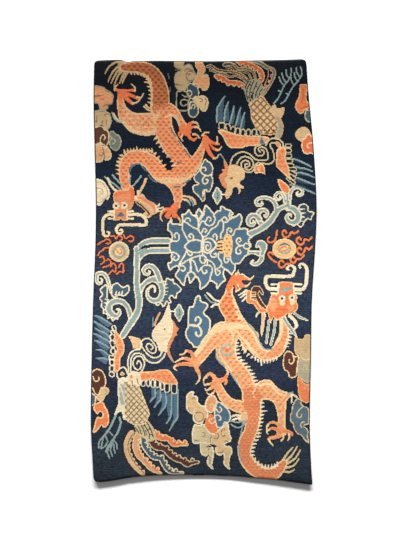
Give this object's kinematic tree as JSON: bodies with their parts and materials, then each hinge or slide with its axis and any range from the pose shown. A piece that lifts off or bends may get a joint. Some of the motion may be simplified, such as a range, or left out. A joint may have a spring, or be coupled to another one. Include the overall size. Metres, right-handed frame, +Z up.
{
  "type": "tibetan rug",
  "caption": "Long, narrow hand-knotted wool pile rug with a dragon, phoenix and lotus pattern, lying flat with its lower end curled a little off the floor.",
  "frame": {"origin": "on the floor, at the middle of the rug's outer box", "axes": "+X across the rug, +Y along it towards its upper end, +Z up out of the pile"},
  "size_m": [0.9024, 1.6992, 0.0197],
  "materials": {
    "wool_pile": "dense matte knotted wool pile, navy ground with a many-coloured pattern, evenly worn"
  },
  "bodies": {
    "root": {"rug": "wool_pile"}
  },
  "joints": []
}
